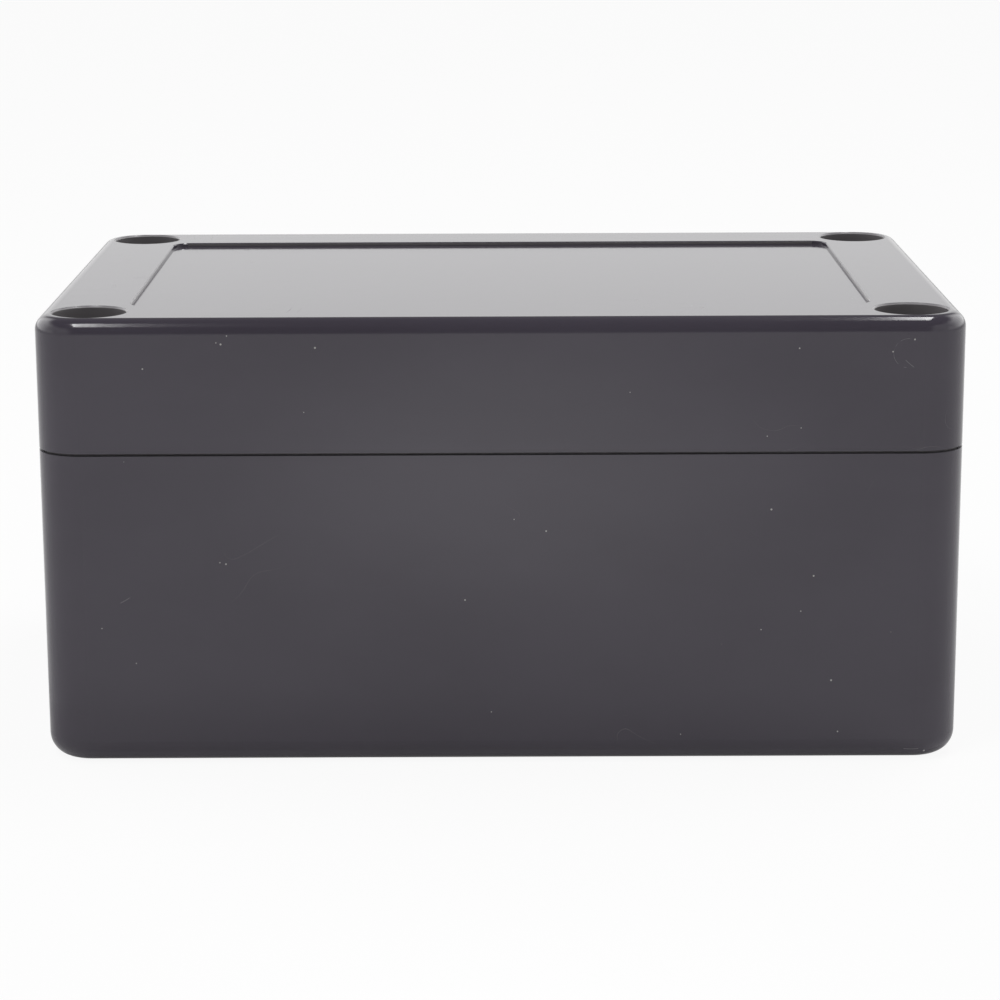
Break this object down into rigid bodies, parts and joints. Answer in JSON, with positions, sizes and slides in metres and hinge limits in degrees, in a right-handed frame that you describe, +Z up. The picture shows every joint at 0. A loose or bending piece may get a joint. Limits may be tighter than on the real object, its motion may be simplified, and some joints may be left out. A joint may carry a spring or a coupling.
{
  "type": "plastic project box",
  "caption": "Sealed rectangular plastic project box with rounded edges, a deep base, a lid with a shallow label recess, a gasket and recessed corner screws.",
  "frame": {"origin": "middle of the flat underside of the base", "axes": "+X along the long side, +Y from the front to the back, +Z up through the lid"},
  "size_m": [0.122, 0.082, 0.06],
  "materials": {
    "moulded_base": "glossy dark grey moulded ABS",
    "moulded_lid": "glossy dark grey moulded ABS",
    "gasket_rubber": "matt black foamed rubber",
    "washer_rubber": "matt black rubber",
    "screw_steel": "bright stainless steel",
    "insert_brass": "turned brass"
  },
  "bodies": {
    "case_base": {"base": "moulded_base", "brass_insert_front_left": "insert_brass", "brass_insert_front_right": "insert_brass", "brass_insert_back_left": "insert_brass", "brass_insert_back_right": "insert_brass"},
    "case_lid": {"lid": "moulded_lid", "gasket": "gasket_rubber"},
    "washer_front_left": {"screw_washer_front_left": "washer_rubber"},
    "screw_front_left": {"lid_screw_front_left": "screw_steel"},
    "washer_front_right": {"screw_washer_front_right": "washer_rubber"},
    "screw_front_right": {"lid_screw_front_right": "screw_steel"},
    "washer_back_left": {"screw_washer_back_left": "washer_rubber"},
    "screw_back_left": {"lid_screw_back_left": "screw_steel"},
    "washer_back_right": {"screw_washer_back_right": "washer_rubber"},
    "screw_back_right": {"lid_screw_back_right": "screw_steel"}
  },
  "joints": [
    {"name": "lid_lift", "type": "slide", "parent": "case_base", "child": "case_lid", "axis": [0, 0, 1], "range_m": [0, 0.035]},
    {"name": "screw_travel_front_left", "type": "slide", "parent": "case_lid", "child": "washer_front_left", "axis": [0, 0, 1], "range_m": [0, 0.0105]},
    {"name": "screw_turn_front_left", "type": "hinge", "parent": "washer_front_left", "child": "screw_front_left", "pos_m": [-0.054, -0.034, 0.0518], "axis": [0, 0, 1], "range_deg": [0, 5400]},
    {"name": "screw_travel_front_right", "type": "slide", "parent": "case_lid", "child": "washer_front_right", "axis": [0, 0, 1], "range_m": [0, 0.0105]},
    {"name": "screw_turn_front_right", "type": "hinge", "parent": "washer_front_right", "child": "screw_front_right", "pos_m": [0.054, -0.034, 0.0518], "axis": [0, 0, 1], "range_deg": [0, 5400]},
    {"name": "screw_travel_back_left", "type": "slide", "parent": "case_lid", "child": "washer_back_left", "axis": [0, 0, 1], "range_m": [0, 0.0105]},
    {"name": "screw_turn_back_left", "type": "hinge", "parent": "washer_back_left", "child": "screw_back_left", "pos_m": [-0.054, 0.034, 0.0518], "axis": [0, 0, 1], "range_deg": [0, 5400]},
    {"name": "screw_travel_back_right", "type": "slide", "parent": "case_lid", "child": "washer_back_right", "axis": [0, 0, 1], "range_m": [0, 0.0105]},
    {"name": "screw_turn_back_right", "type": "hinge", "parent": "washer_back_right", "child": "screw_back_right", "pos_m": [0.054, 0.034, 0.0518], "axis": [0, 0, 1], "range_deg": [0, 5400]}
  ],
  "couplings": [
    {"joint": "screw_turn_front_left", "follows": "screw_travel_front_left", "rad_per_m": 8976},
    {"joint": "screw_turn_front_right", "follows": "screw_travel_front_right", "rad_per_m": 8976},
    {"joint": "screw_turn_back_left", "follows": "screw_travel_back_left", "rad_per_m": 8976},
    {"joint": "screw_turn_back_right", "follows": "screw_travel_back_right", "rad_per_m": 8976}
  ]
}
